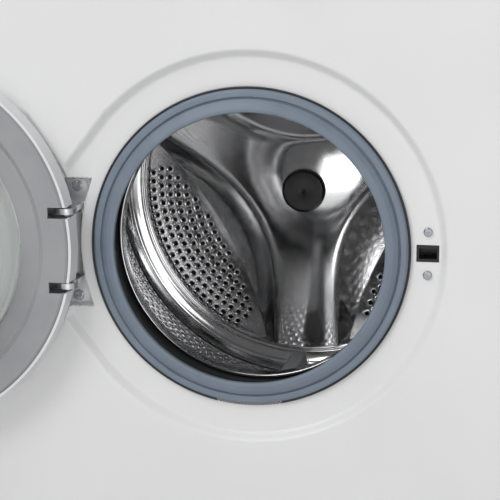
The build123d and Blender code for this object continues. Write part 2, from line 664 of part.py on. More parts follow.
def gasket():
    wall = FilletPolyline(
        (155.2, at(0)), (157.5, at(26)), (180, at(31)), (180, at(43)), (172.3, at(49)), (172.3, at(74)),
        radius=4)
    bellows = make_face(offset(wall, GASKET_WALL, side=Side.RIGHT))
    bead = make_face(Polyline(
        (GASKET_RADIUS, at(8.8)), (GASKET_RADIUS, at(5)), (175.4, at(2.4)), (168.8, at(1.4)),
        (168.3, at(3.6)), (167.3, at(3.6)), (166.8, at(0.8)), (156, at(-5)), (153, at(-5)),
        (GASKET_MOUTH, at(-3)), (152.4, at(2)), (157, at(6.5)), (166, at(8.8)), close=True))
    ring = revolve(Pos(0, 0, PORT_Z) * (bead + bellows), PORT_AXIS)
    # Six moulded marks on the flange
    for i in range(6):
        x, z = around(60 * i, 171.8)
        mark = Pos(x, at(1.6), z) * Rot(0, -60 * i, 0) * Box(3, 2, 9)
        ring -= mark
    return ring


def gasket_curl(turn):
    """Point on the tension spring of the gasket's wire."""
    angle = 270 - SPRING_SPAN / 2 + SPRING_SPAN * turn / CURLS
    x, z = around(angle, GASKET_RADIUS + 2.9 + CURL_RADIUS * cos(2 * pi * turn))
    return Vector(x, at(5.6) + CURL_RADIUS * sin(2 * pi * turn), z)


def gasket_wire():
    """Clamping wire round the gasket, closed by a tension spring at the bottom."""
    section = Pos(GASKET_RADIUS + WIRE_RADIUS + 0.4, at(5.6), PORT_Z) * Circle(WIRE_RADIUS)
    wire = turned(-91 - SPRING_SPAN / 2) * revolve(section, PORT_AXIS, 362 - SPRING_SPAN)
    return wire + wire_along(winding("gasket spring", gasket_curl, CURLS, CURL_WIRE), CURL_WIRE)


# Drum


def drum_shell():
    outside = bar(DRUM_RADIUS + DRUM_SHEET, DRUM_FRONT, DRUM_END)
    return outside - bar(DRUM_RADIUS, DRUM_FRONT - 1, DRUM_END + 1)


def drum_front():
    wall = spun_wall(DRUM_SHEET, 6, Side.RIGHT,
                     (LIP_RADIUS, LIP_DEPTH), (LIP_RADIUS, 89), (236, 95), (248.4, 104), (248.4, 114))
    lip = Pos(LIP_RADIUS + 0.6, at(LIP_DEPTH), PORT_Z) * Circle(2)
    return wall + revolve(lip, PORT_AXIS)


def back_form(rim_radius):
    """Front of the drum's back as a solid: hub and arms, a broad bead at the rim and three sunk leaves."""
    rim_depth = 457 - (rim_radius - BEAD_RADIUS - 8) * 1.6
    body = spun((0, HUB_DEPTH), (HUB_RADIUS, HUB_DEPTH), (221, ARM_END), (226, 456), (230, 454),
                (BEAD_RADIUS - 2, 449.4), (BEAD_RADIUS + 2, 449.4), (240, 454), (BEAD_RADIUS + 8, 457),
                (rim_radius, rim_depth), (rim_radius, 500), (0, 500))
    for angle in LEAF_ANGLES:
        body -= turned(angle) * leaf_pocket()
    return body


def leaf_face(apex, side_u, side_v, outer_radius, depth):
    """Lens between an arc that bulges to the hub and a circle about the drum's axis."""
    plane = Plane((0, at(depth), PORT_Z), x_dir=(1, 0, 0), z_dir=(0, -1, 0))
    inner = ThreePointArc((side_u, -side_v), (apex, 0), (side_u, side_v))
    outer = ThreePointArc((side_u, side_v), (outer_radius, 0), (side_u, -side_v))
    return plane * make_face(inner + outer)


def leaf_pocket():
    """Pocket of one leaf, its flank sloping from the hub down to the flat leaf."""
    floor = leaf_face(132, 156.4, 153.3, LEAF_RADIUS, LEAF_DEPTH)
    mouth = leaf_face(58, 134.3, 191.1, LEAF_RADIUS + 14.6, HUB_DEPTH - 2)
    return loft([floor, mouth], ruled=True)


def leaf_holes():
    """Rows of holes in one leaf, on circles about the drum's axis."""
    holes = Part()
    for row, count in enumerate(HOLE_COUNTS):
        radius = FIRST_ROW + ROW_STEP * row
        for i in range(count):
            angle = degrees(HOLE_PITCH / radius) * (i - (count - 1) / 2)
            holes += [bar(HOLE_RADIUS, LEAF_DEPTH - 5, LEAF_DEPTH + 5, *around(angle, radius))]
    return holes


def drum_back():
    plate = back_form(DRUM_RADIUS - 0.5) - Pos(0, DRUM_SHEET, 0) * back_form(DRUM_RADIUS + 4)
    # Flange that stands along the drum's wall
    flange = DRUM_RADIUS - 0.5 - DRUM_SHEET
    plate += spun((flange, FLANGE_FRONT), (flange + DRUM_SHEET, FLANGE_FRONT), (flange + DRUM_SHEET, 448),
                  (flange, 449))
    for angle in LEAF_ANGLES:
        plate -= turned(angle) * leaf_holes()
    return plate


def hub_cap():
    crown = HUB_DEPTH - 4.5
    return spun((0, crown), (25, crown), (28.7, crown + 2.5), (29.2, HUB_DEPTH), (0, HUB_DEPTH))


def lifters():
    """Three paddles along the drum's wall."""
    group = Part()
    for angle in ARM_ANGLES:
        base = Plane((DRUM_RADIUS + 6, at(256), PORT_Z), x_dir=(0, 1, 0), z_dir=(-1, 0, 0))
        top = Plane((211, at(252), PORT_Z), x_dir=(0, 1, 0), z_dir=(-1, 0, 0))
        paddle = loft([base * RectangleRounded(280, 40, 12), top * RectangleRounded(264, 18, 8.5)])
        paddle = fillet(paddle.faces().sort_by(Axis.X)[0].edges(), 4)
        paddle &= bar(DRUM_RADIUS - 0.3, 0, DEPTH)
        group += turned(angle) * paddle
    return group


def spider():
    """Cast carrier behind the drum's back, one arm behind each arm of the star."""
    hub = bar(38, 424, 459)
    for angle in ARM_ANGLES:
        root = Plane((25, 0, PORT_Z), x_dir=(0, 1, 0), z_dir=(1, 0, 0))
        tip = Plane((243, 0, PORT_Z), x_dir=(0, 1, 0), z_dir=(1, 0, 0))
        root_face = root * Pos(at(442), 0) * Rectangle(34, 40)
        tip_face = tip * Pos(at(467.5), 0) * Rectangle(7, 26)
        hub += turned(angle) * loft([root_face, tip_face], ruled=True)
    return hub - bar(15, 430, 480)


def drum_shaft():
    return bar(15, 430, 488) + bar(12.5, 488, 506) + bar(10, 506, 530)


def drum_pulley():
    start, end = PULLEY_DEPTH, PULLEY_DEPTH + PULLEY_WIDTH
    wheel = bar(PULLEY_RADIUS, start, end) - bar(PULLEY_RADIUS - 12, start - 1, end + 1)
    wheel += bar(24, start - 1, end)
    for i in range(6):
        wheel += turned(60 * i) * block(20, PULLEY_RADIUS - 8, start + 3, end - 5, PORT_Z - 9, PORT_Z + 9)
    # Grooves of the ribbed belt
    for i in range(4):
        depth = start + 2.5 + 3 * i
        outside = PULLEY_RADIUS + 1
        wheel -= spun((PULLEY_RADIUS - 2, depth), (outside, depth - 1), (outside, depth + 1))
    return wheel - bar(10, 500, 540)


# Tub and what hangs on it


def tub_front():
    shell = spun((NECK_RADIUS, 52), (NECK_RADIUS + 4, 52), (NECK_RADIUS + 4, TUB_FRONT - 2),
                 (TUB_RADIUS - 8, TUB_FRONT + 1), (TUB_RADIUS + TUB_WALL, TUB_FRONT + 12),
                 (TUB_RADIUS + TUB_WALL, TUB_JOINT - 6), (TUB_RADIUS + 12, TUB_JOINT - 6),
                 (TUB_RADIUS + 12, TUB_JOINT), (TUB_RADIUS, TUB_JOINT), (TUB_RADIUS, TUB_FRONT + 14),
                 (TUB_RADIUS - 9, TUB_FRONT + 5), (NECK_RADIUS, TUB_FRONT + 2))
    # Outlet at the bottom
    outlet = post(21.8, 146, PORT_Z - 240, SUMP_X, SUMP_DEPTH)
    outlet -= bar(TUB_RADIUS + 1, 0, DEPTH)
    shell += outlet
    return shell - post(18, 100, PORT_Z - 200, SUMP_X, SUMP_DEPTH)


def tub_rear():
    joint = TUB_JOINT + 0.2
    shell = spun((TUB_RADIUS, joint), (TUB_RADIUS + 12, joint), (TUB_RADIUS + 12, joint + 6),
                 (TUB_RADIUS + TUB_WALL, joint + 6), (TUB_RADIUS + TUB_WALL, TUB_BACK - 4),
                 (TUB_RADIUS - 6, TUB_BACK + TUB_WALL), (30, TUB_BACK + TUB_WALL), (30, TUB_BACK),
                 (TUB_RADIUS - 8, TUB_BACK), (TUB_RADIUS, TUB_BACK - 7))
    shell += bar(50, 462, 507)
    for i in range(12):
        rib = block(45, TUB_RADIUS - 4, TUB_BACK + 2, TUB_BACK + 14, PORT_Z - 2, PORT_Z + 2)
        shell += turned(30 * i + 15) * rib
    inside = bar(TUB_RADIUS, joint - 1, TUB_BACK)
    # Heater well below, inlet spigot above, lugs for springs and dampers
    well = soft_block(10, -112, -8, 330, TUB_BACK + TUB_WALL, 136, 220)
    well -= soft_block(8, -108, -12, 334, TUB_BACK, 140, 240)
    shell += well - inside
    shell -= soft_block(8, -108, -12, 334, TUB_BACK, 140, 200) - inside
    spigot = post(20, 560, 650, INLET_X, INLET_DEPTH + 22)
    lugs = both_sides(block(SPRING_X - 22, SPRING_X + 8, STRUT_DEPTH - 6, STRUT_DEPTH + 6, 590, 606))
    x, z = DAMPER_HEAD
    for depth in (STRUT_DEPTH - 10.5, STRUT_DEPTH + 10.5):
        lugs += both_sides(block(x - 14, x + 9, depth - 2, depth + 2, z - 9, z + 40))
    shell += (spigot + lugs) - inside
    shell -= post(17, 500, 700, INLET_X, INLET_DEPTH + 22)
    # Seats of the bearings and the seal, and the heater's two holes
    for inner, outer, start, end in (FRONT_BEARING, REAR_BEARING):
        shell -= bar(outer, start, end)
    shell -= bar(28, 460, 468)
    shell -= bar(20, 460, 495)
    shell -= bar(26, 504, 510)
    for x in (-85, -35):
        shell -= bar(4.3, TUB_BACK - 10, TUB_BACK + 20, x, 156)
    return shell


def bearings():
    """Two ball bearings, each as its rings with the shield between them."""
    group = Part()
    for inner, outer, start, end in (FRONT_BEARING, REAR_BEARING):
        wall = (outer - inner) / 4
        group += spun((inner + RUNNING_GAP, start), (inner + wall, start), (inner + wall, start + 1.2),
                      (outer - wall, start + 1.2), (outer - wall, start), (outer, start), (outer, end),
                      (outer - wall, end), (outer - wall, end - 1.2), (inner + wall, end - 1.2),
                      (inner + wall, end), (inner + RUNNING_GAP, end))
    return group


def shaft_seal():
    return spun((15 + RUNNING_GAP, 464), (17, 462), (28, 462), (28, 467.5), (19, 467.5), (16.5, 465.5),
                (15 + RUNNING_GAP, 465.5))


def counterweight_top():
    weight = block(-165, 165, 112, 232, 630, 734)
    weight = fillet(weight.edges().filter_by(Axis.Y).sort_by(Axis.Z)[-2:], 18)
    weight -= bar(TUB_RADIUS + 5, 0, DEPTH)
    return weight - both_sides(post(9, 600, 800, 110, 172))


def counterweight_front():
    """Lower crescent of concrete in front of the tub."""
    ring = spun((190, 48), (250, 48), (254, 52), (254, 74), (190, 74))
    ring -= block(-300, 300, 0, 100, PORT_Z - 70, 800)
    ring -= both_sides(bar(8, 30, 90, *around(232, 222)))
    return ring


def heater():
    """Hairpin tube in the well, and its flange outside the tub."""
    path = FilletPolyline((-85, at(TUB_BACK + 14), 156), (-85, at(345), 156), (-35, at(345), 156),
                          (-35, at(TUB_BACK + 14), 156), radius=24)
    tube = sweep(Plane(path @ 0, z_dir=path % 0) * Circle(4), path)
    plate = soft_block(6, -100, -20, TUB_BACK + TUB_WALL, TUB_BACK + TUB_WALL + 4, 144, 168)
    for x in (-85, -35):
        plate -= bar(4, TUB_BACK, TUB_BACK + 30, x, 156)
    return tube + plate


def motor():
    body = bar(MOTOR_RADIUS, 312, 468, MOTOR_X, MOTOR_Z)
    body = fillet(body.edges(), 8)
    for i in range(10):
        slot = Pos(MOTOR_X, at(390), MOTOR_Z) * Rot(0, 36 * i, 0) * Pos(MOTOR_RADIUS, 0, 0) * Box(8, 90, 8)
        body -= slot
    # Feet that hang the motor under the tub
    for depth in (330, 446):
        arm = block(MOTOR_X - 46, MOTOR_X + 46, depth - 9, depth + 9, MOTOR_Z + 20, PORT_Z - 215)
        body += arm - bar(TUB_RADIUS + TUB_WALL, 0, DEPTH)
    return body - bar(6 + RUNNING_GAP, 450, 480, MOTOR_X, MOTOR_Z)


def motor_pulley():
    start, end = PULLEY_DEPTH, PULLEY_DEPTH + PULLEY_WIDTH
    wheel = bar(MOTOR_PULLEY_RADIUS, start, end, MOTOR_X, MOTOR_Z)
    return wheel + bar(6, 452, end + 2, MOTOR_X, MOTOR_Z)


def belt_loop(gap):
    plane = Plane((0, at(PULLEY_DEPTH + 1), 0), x_dir=(1, 0, 0), z_dir=(0, -1, 0))
    big = Pos(0, PORT_Z) * Circle(PULLEY_RADIUS + gap)
    small = Pos(MOTOR_X, MOTOR_Z) * Circle(MOTOR_PULLEY_RADIUS + gap)
    return extrude(plane * make_hull(big.edges() + small.edges()), -(PULLEY_WIDTH - 2))


def drive_belt():
    return belt_loop(BELT_GAP + 3) - belt_loop(BELT_GAP)


# Suspension


def suspension_springs():
    """A coil spring on each side, between the crossbar and a lug of the tub."""
    height = SPRING_TOP - SPRING_BOTTOM - 24

    def curl(turn):
        angle = 2 * pi * turn
        return Vector(SPRING_RADIUS * cos(angle), SPRING_RADIUS * sin(angle), height * turn / SPRING_TURNS)

    path = winding("suspension spring", curl, SPRING_TURNS, SPRING_WIRE)
    coil = wire_along(path, SPRING_WIRE)
    # Straight ends that lead to the crossbar above and the lug below
    coil += rod(SPRING_WIRE, path @ 1, (0, 0, height + 16)) + rod(SPRING_WIRE, path @ 0, (0, 0, -16))
    return both_sides(Pos(SPRING_X, at(STRUT_DEPTH), SPRING_BOTTOM + 12) * coil)


def damper_line(share):
    """Point on the right damper's axis, from its foot (0) to its head (1)."""
    (x0, z0), (x1, z1) = DAMPER_FOOT, DAMPER_HEAD
    return x0 + (x1 - x0) * share, at(STRUT_DEPTH), z0 + (z1 - z0) * share


def damper_cylinders():
    tube = rod(15, damper_line(0.1), damper_line(0.62)) + rod(7, damper_line(0), damper_line(0.12))
    tube -= rod(9, damper_line(0.16), damper_line(0.7))
    x, z = DAMPER_FOOT
    eye = Pos(x, at(STRUT_DEPTH), z) * Rot(90, 0, 0) * Cylinder(10, 16)
    return both_sides(tube + eye)


def damper_rods():
    x, z = DAMPER_HEAD
    eye = Pos(x, at(STRUT_DEPTH), z) * Rot(90, 0, 0) * Cylinder(9, 16)
    return both_sides(rod(5, damper_line(0.36), damper_line(0.99)) + eye)


# Drain


def sump_hose():
    path = FilletPolyline((SUMP_X, at(SUMP_DEPTH), 166), (SUMP_X, at(SUMP_DEPTH), 84),
                          (FILTER_X - 38, at(SUMP_DEPTH), 84), radius=45)
    start = Plane(path @ 0, z_dir=path % 0)
    return sweep(start * Circle(25.2), path) - sweep(start * Circle(22), path)


def drain_pump():
    body = bar(37, 47, 150, FILTER_X, FILTER_Z)
    inlet = Pos(FILTER_X - 45, at(SUMP_DEPTH), 84) * Rot(0, 90, 0) * Cylinder(21.8, 40)
    body += inlet
    body -= bar(31.5, 40, 135, FILTER_X, FILTER_Z)
    body -= Pos(FILTER_X - 45, at(SUMP_DEPTH), 84) * Rot(0, 90, 0) * Cylinder(18, 60)
    # Pump motor behind the filter, outlet on top, foot on the tray
    body += bar(24, 150, 205, FILTER_X, FILTER_Z)
    body += post(11, FILTER_Z + 30, FILTER_Z + 62, FILTER_X + 8, 120)
    body += block(FILTER_X - 26, FILTER_X + 26, 60, 140, CABINET_BOTTOM + 5, FILTER_Z - 32)
    return body


def filter_cap():
    cap = bar(36, 40, 46.4, FILTER_X, FILTER_Z)
    cap = fillet(cap.edges().sort_by(Axis.Y)[0], 2)
    grip = soft_block(3, FILTER_X - 28, FILTER_X + 28, 24, 40, FILTER_Z - 5, FILTER_Z + 5)
    plug = bar(30.8, 46.4, 108, FILTER_X, FILTER_Z) - bar(27, 52, 112, FILTER_X, FILTER_Z)
    # Windows of the strainer
    for i in range(6):
        window = Pos(FILTER_X, at(84), FILTER_Z) * Rot(0, 60 * i + 30, 0) * Pos(29, 0, 0) * Box(10, 30, 16)
        plug -= window
    return cap + grip + plug


PARTS = {
    "cabinet_wrap": cabinet_wrap,
    "rear_cover": rear_cover,
    "rear_screws": rear_screws,
    "transit_caps": transit_caps,
    "front_panel": front_panel,
    "service_flap": service_flap,
    "base_tray": base_tray,
    "crossbars": crossbars,
    "top_cover": top_cover,
    "control_panel": control_panel,
    "display_window": display_window,
    "control_board": control_board,
    "programme_knob": programme_knob,
    "power_button": lambda: round_button(9, POWER_X, CONTROL_Z),
    "start_button": lambda: round_button(13, START_X, START_Z),
    "option_button": option_button,
    "drawer_front": drawer_front,
    "drawer_box": drawer_box,
    "dispenser_housing": dispenser_housing,
    "dispenser_hose": dispenser_hose,
    "inlet_valve": inlet_valve,
    "drain_outlet": drain_outlet,
    "hinge_bracket": hinge_bracket,
    "front_screws": front_screws,
    "door_lock": door_lock,
    "door_frame": lambda: swung_open(door_frame()),
    "door_trim": lambda: swung_open(door_trim()),
    "door_glass": lambda: swung_open(door_glass()),
    "door_arms": lambda: swung_open(door_arms()),
    "door_hook": lambda: swung_open(door_hook()),
    "gasket": gasket,
    "gasket_wire": gasket_wire,
    "drum_shell": drum_shell,
    "drum_front": drum_front,
    "drum_back": drum_back,
    "hub_cap": hub_cap,
    "lifters": lifters,
    "spider": spider,
    "drum_shaft": drum_shaft,
    "drum_pulley": drum_pulley,
    "tub_front": tub_front,
    "tub_rear": tub_rear,
    "bearings": bearings,
    "shaft_seal": shaft_seal,
    "counterweight_top": counterweight_top,
    "counterweight_front": counterweight_front,
    "heater": heater,
    "motor": motor,
    "motor_pulley": motor_pulley,
    "drive_belt": drive_belt,
    "suspension_springs": suspension_springs,
    "damper_cylinders": damper_cylinders,
    "damper_rods": damper_rods,
    "sump_hose": sump_hose,
    "drain_pump": drain_pump,
    "filter_cap": filter_cap,
}
for corner_x, side in ((-FOOT_X, "left"), (FOOT_X, "right")):
    for corner_depth, end in zip(FOOT_DEPTHS, ("front", "rear")):
        PARTS[f"foot_{end}_{side}"] = lambda x=corner_x, depth=corner_depth: foot(x, depth)

os.makedirs("parts", exist_ok=True)
for name, make in PARTS.items():
    export_step(make(), f"parts/{name}.step")
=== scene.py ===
import json
from math import atan2, cos, degrees, hypot, pi, radians, sin, sqrt

import bmesh
import bpy
from mathutils import Matrix, Vector


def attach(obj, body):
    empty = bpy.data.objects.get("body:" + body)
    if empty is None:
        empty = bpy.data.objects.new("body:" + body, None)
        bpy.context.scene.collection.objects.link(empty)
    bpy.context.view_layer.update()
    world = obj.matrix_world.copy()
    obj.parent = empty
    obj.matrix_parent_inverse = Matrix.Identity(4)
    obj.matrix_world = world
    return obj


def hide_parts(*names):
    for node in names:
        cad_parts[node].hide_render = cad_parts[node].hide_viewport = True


# Front-loading washing machine with its door open. The front faces -Y. New pieces are drawn in
# millimetres about the porthole's axis: X to the viewer's right, Y the depth behind the front panel
# and Z the height above the porthole's middle.

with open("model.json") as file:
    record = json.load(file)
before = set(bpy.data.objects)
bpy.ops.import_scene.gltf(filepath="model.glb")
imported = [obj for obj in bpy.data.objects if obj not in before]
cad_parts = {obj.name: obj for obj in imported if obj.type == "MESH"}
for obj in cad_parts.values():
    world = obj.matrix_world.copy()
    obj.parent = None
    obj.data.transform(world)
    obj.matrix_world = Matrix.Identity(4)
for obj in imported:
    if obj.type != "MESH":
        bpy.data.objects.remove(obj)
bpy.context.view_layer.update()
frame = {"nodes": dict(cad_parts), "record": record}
scene = bpy.context.scene

FRONT = -280
PORT_Z = 432
TO_PART = Matrix.Scale(0.001, 4) @ Matrix.Translation((0, FRONT, PORT_Z))
AXIS = (0, 1, 0)
CENTRE = (0, 0, 0)

PANEL = (-293, 293, -404, 298)
PANEL_ROUNDING = 6
PANEL_SHEET = 1.0
DISH_DEPTH = 9
DISH_FLOOR = 211
DISH_RIM = 222
FLARE_START = -200
FLARE_LENGTH = 91
FLARE_HALF = 70
FLARE_GROWTH = 142
POCKET_DEPTH = 21
POCKET_HALF = 65
POCKET_LEFT = -219
POCKET_CORNER = 9
POCKET_INNER = 193
LATCH_HOLE = (185.5, 210.5, -9.5, 9.5)
FLAP_HOLE = (150, 256, 44 - PORT_Z, 132 - PORT_Z)

HUB_DEPTH = 417
HUB_RADIUS = 46
LEAF_DEPTH = 465
LEAF_ANGLES = (90, 210, 330)
HOLE_COUNTS = (6, 11, 15, 18, 21, 22, 22)
HOLE_PITCH = 11.8
ROW_STEP = 11.4
FIRST_ROW = 146.6
DRUM_RADIUS = 250
DRUM_SHEET = 0.8
WALL_FRONT = 98
WALL_BACK = 418
WALL_ROWS = 28
WALL_HOLES = 124
SEAM_RADIUS = 256

WIRE_RING = 178.9
WIRE_RADIUS = 1.3
SPRING_RING = 178.6
SPRING_SPAN = 26
CURL_RADIUS = 1.5
CURL_WIRE = 0.5
CURLS = 20

KNOB_X = 25
CONTROL_Z = 781 - PORT_Z
FASCIA_DEPTH = -9
DISPLAY_MIDDLE = (150, 783 - PORT_Z)


# Materials


def colour(text):
    """Linear colour of an sRGB hex code."""
    parts = [int(text[i:i + 2], 16) / 255 for i in (1, 3, 5)]
    return [c / 12.92 if c <= 0.04045 else ((c + 0.055) / 1.055) ** 2.4 for c in parts] + [1]


def add(tree, kind, inputs, **settings):
    """Adds a node. An input takes a value or the output socket of another node."""
    node = tree.nodes.new("ShaderNode" + kind)
    for name, value in settings.items():
        setattr(node, name, value)
    for name, value in inputs.items():
        if isinstance(value, bpy.types.NodeSocket):
            tree.links.new(value, node.inputs[name])
        else:
            node.inputs[name].default_value = value
    return node


def surface(name, **inputs):
    """New material with one Principled shader, its node tree and object coordinates in metres."""
    material = bpy.data.materials.new(name)
    material.use_nodes = True
    tree = material.node_tree
    shader = tree.nodes["Principled BSDF"]
    for key, value in inputs.items():
        shader.inputs[key.replace("_", " ")].default_value = value
    return material, tree, shader, add(tree, "TexCoord", {}).outputs["Object"]


def mottle(tree, where, shader, size, dark, light, detail=3):
    """Colour that drifts between two shades over patches of this size in metres."""
    noise = add(tree, "TexNoise", {"Vector": where, "Scale": 1 / size, "Detail": detail})
    ramp = add(tree, "ValToRGB", {"Fac": noise.outputs["Fac"]})
    ramp.color_ramp.elements[0].position = 0.3
    ramp.color_ramp.elements[1].position = 0.7
    ramp.color_ramp.elements[0].color = colour(dark)
    ramp.color_ramp.elements[1].color = colour(light)
    tree.links.new(ramp.outputs["Color"], shader.inputs["Base Color"])
    return ramp


def grain(tree, where, shader, size, height, detail=2):
    """Fine relief with grains of this size and height in metres."""
    noise = add(tree, "TexNoise", {"Vector": where, "Scale": 1 / size, "Detail": detail})
    bump = add(tree, "Bump", {"Height": noise.outputs["Fac"], "Distance": height})
    tree.links.new(bump.outputs["Normal"], shader.inputs["Normal"])


def polish(tree, where, shader, size, low, high):
    """Roughness that varies over patches of this size in metres."""
    noise = add(tree, "TexNoise", {"Vector": where, "Scale": 1 / size, "Detail": 4})
    limits = add(tree, "MapRange", {"Value": noise.outputs["Fac"], "From Min": 0.3, "From Max": 0.7,
                                    "To Min": low, "To Max": high})
    tree.links.new(limits.outputs["Result"], shader.inputs["Roughness"])


def painted_steel():
    """Stoved white enamel: an even, half-glossy coat with a trace of orange peel."""
    material, tree, shader, where = surface("white stoved enamel", Roughness=0.34, IOR=1.5)
    mottle(tree, where, shader, 0.16, "#e6e6e6", "#eaeaea")
    grain(tree, where, shader, 0.004, 0.00002)
    return material


def moulded(name, dark, light, roughness, size=0.0012, height=0.00004):
    """Moulded plastic: dull, with the fine grain of the mould and a slow drift of tone."""
    material, tree, shader, where = surface(name, IOR=1.5)
    mottle(tree, where, shader, 0.05, dark, light)
    polish(tree, where, shader, 0.02, roughness - 0.05, roughness + 0.05)
    grain(tree, where, shader, size, height)
    return material


def stainless_sheet():
    """Bright annealed stainless sheet: clear reflections, slightly wavy from the press."""
    material, tree, shader, where = surface("stainless steel", Metallic=1)
    mottle(tree, where, shader, 0.03, "#e6e6e7", "#ececed")
    polish(tree, where, shader, 0.012, 0.09, 0.14)
    grain(tree, where, shader, 0.03, 0.00006)
    return material


def zinc_plated():
    """Bright zinc on steel: pale metal with a soft shine and faint cloudy patches."""
    material, tree, shader, where = surface("zinc-plated steel", Metallic=1)
    mottle(tree, where, shader, 0.012, "#a9abaf", "#c3c5c8")
    polish(tree, where, shader, 0.006, 0.24, 0.38)
    grain(tree, where, shader, 0.0016, 0.00003)
    return material


def bright_zinc():
    """Freshly plated pressing: pale, satin, catching the light from all sides."""
    material, tree, shader, where = surface("bright zinc plate", Metallic=1)
    mottle(tree, where, shader, 0.015, "#e2e3e5", "#eeeff0")
    polish(tree, where, shader, 0.006, 0.3, 0.42)
    grain(tree, where, shader, 0.004, 0.00004)
    return material


def cast_metal():
    """Sand-cast aluminium: dull grey with a rough skin."""
    material, tree, shader, where = surface("cast aluminium", Metallic=1)
    mottle(tree, where, shader, 0.02, "#8f9093", "#a5a6a8")
    polish(tree, where, shader, 0.01, 0.45, 0.6)
    grain(tree, where, shader, 0.002, 0.0003)
    return material


def gasket_rubber():
    """Blue-grey EPDM rubber: dull, with a faint bloom and the pores of the mould."""
    material, tree, shader, where = surface("grey EPDM rubber", IOR=1.52)
    mottle(tree, where, shader, 0.03, "#74808d", "#7b8795")
    polish(tree, where, shader, 0.015, 0.42, 0.55)
    grain(tree, where, shader, 0.0011, 0.00004)
    return material


def clear_glass():
    """Pressed borosilicate of the door's bowl: clear with a slight green."""
    material, tree, shader, where = surface("door glass", Roughness=0.02, IOR=1.47, Transmission_Weight=1)
    mottle(tree, where, shader, 0.08, "#f4f8f6", "#fafcfb")
    grain(tree, where, shader, 0.03, 0.00008)
    return material


def lit_segment():
    """Segment of the display: a pale blue glow, a little uneven as light guides are."""
    material, tree, shader, where = surface("display segment", Roughness=0.4, IOR=1.5,
                                            Emission_Strength=0.8)
    ramp = mottle(tree, where, shader, 0.004, "#a8c8e6", "#c6def2")
    tree.links.new(ramp.outputs["Color"], shader.inputs["Emission Color"])
    return material


def concrete():
    """Cast concrete of the counterweights: pale grey, speckled and pitted."""
    material, tree, shader, where = surface("concrete", Roughness=0.9)
    mottle(tree, where, shader, 0.006, "#8d8b87", "#b3b1ac", detail=8)
    grain(tree, where, shader, 0.003, 0.0008, detail=6)
    return material


ENAMEL = painted_steel()
WHITE_PLASTIC = moulded("white ABS", "#e3e4e5", "#e8e9ea", 0.4)
GREY_PLASTIC = moulded("grey polypropylene", "#9a9b9e", "#a3a4a6", 0.42)
LIFTER_PLASTIC = moulded("lifter polypropylene", "#d9dadc", "#e2e3e5", 0.38)
# Dark grey tub: its tone also stands in as painted shade for the gap behind the gasket and for what shows
# through the holes
TUB_PLASTIC_AND_SHADE = moulded("filled polypropylene darkened as painted shade", "#333436", "#3d3e40", 0.55, 0.003, 0.0002)
SILVER_PLASTIC = moulded("silver-painted ABS", "#b4b6b9", "#bfc1c3", 0.32)
BLACK_PLASTIC = moulded("black polyamide", "#151516", "#1c1c1e", 0.4)
LOCK_PLASTIC = moulded("lock polyamide", "#09090a", "#0e0e0f", 0.3)
INK = moulded("grey printing ink", "#4b4c50", "#55565a", 0.5)
BLACK_GLOSS = moulded("black gloss ABS", "#19191c", "#202024", 0.16, 0.02, 0.00003)
BLACK_RUBBER = moulded("black rubber", "#19191a", "#232324", 0.65, 0.002, 0.0001)
STAINLESS = stainless_sheet()
ZINC = zinc_plated()
BRIGHT_ZINC = bright_zinc()
CAST = cast_metal()
RUBBER = gasket_rubber()
# Near-black bellows: painted shade standing in for the shadow deep inside the gasket's fold
BELLOWS_PAINTED_SHADE = moulded("gasket bellows painted shade", "#1a1a1b", "#202021", 0.6)
# Near-black wire: a dark wire, and also painted shade for the shadow line along the gasket's outer edge
WIRE_AND_GAP_SHADE = moulded("dark spring wire and painted gap shade", "#26272a", "#303134", 0.4)
GLASS = clear_glass()
LIT_SEGMENT = lit_segment()
CONCRETE = concrete()

FINISH_OF_SLOT = {
    "white_enamel": ENAMEL,
    "white_plastic": WHITE_PLASTIC,
    "zinc_steel": ZINC,
    "stainless": STAINLESS,
    "cast_aluminium": CAST,
    "grey_plastic": GREY_PLASTIC,
    "silver_plastic": SILVER_PLASTIC,
    "black_plastic": BLACK_PLASTIC,
    "black_gloss": BLACK_GLOSS,
    "glass": GLASS,
    "gasket_rubber": RUBBER,
    "black_rubber": BLACK_RUBBER,
    "concrete": CONCRETE,
}


# Drawing tools


def chain(bm, points, closed=False):
    """Vertices and edges through (radius, depth) points, in the half plane towards +X."""
    verts = [bm.verts.new((radius, depth, 0)) for radius, depth in points]
    edges = [bm.edges.new(pair) for pair in zip(verts, verts[1:])]
    if closed:
        edges.append(bm.edges.new((verts[-1], verts[0])))
    return verts, edges


def turn(bm, geom, steps, angle=2 * pi):
    """Sweeps points and edges about the porthole's axis."""
    bmesh.ops.spin(bm, geom=geom, cent=CENTRE, axis=AXIS, angle=angle, steps=steps,
                   use_merge=angle == 2 * pi)
    bmesh.ops.remove_doubles(bm, verts=bm.verts, dist=0.0005)


def lathe(points, steps, round_by=0, closed=True):
    """Turned body from an outline of (radius, depth) points whose corners are rounded."""
    bm = bmesh.new()
    verts, edges = chain(bm, points, closed)
    if round_by:
        corners = verts if closed else verts[1:-1]
        bmesh.ops.bevel(bm, geom=corners, offset=round_by, offset_type="OFFSET", segments=4, profile=0.5,
                        affect="VERTICES", material=-1)
    turn(bm, list(bm.verts) + list(bm.edges), steps)
    return bm


def join(bm, part):
    """Adds one mesh to another."""
    mesh = bpy.data.meshes.new("part")
    part.to_mesh(mesh)
    part.free()
    bm.from_mesh(mesh)
    bpy.data.meshes.remove(mesh)


def piece(name, bm, body, material, nodes=(), crease=35):
    """Makes the drawn mesh an object of the part that moves with a body."""
    bmesh.ops.transform(bm, matrix=TO_PART, verts=bm.verts)
    mesh = bpy.data.meshes.new(name)
    bm.to_mesh(mesh)
    bm.free()
    mesh.materials.append(material)
    mesh.shade_smooth()
    mesh.set_sharp_from_angle(angle=radians(crease))
    made = bpy.data.objects.new(name, mesh)
    scene.collection.objects.link(made)
    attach(made, body)
    if nodes:
        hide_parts(*nodes)
    return made


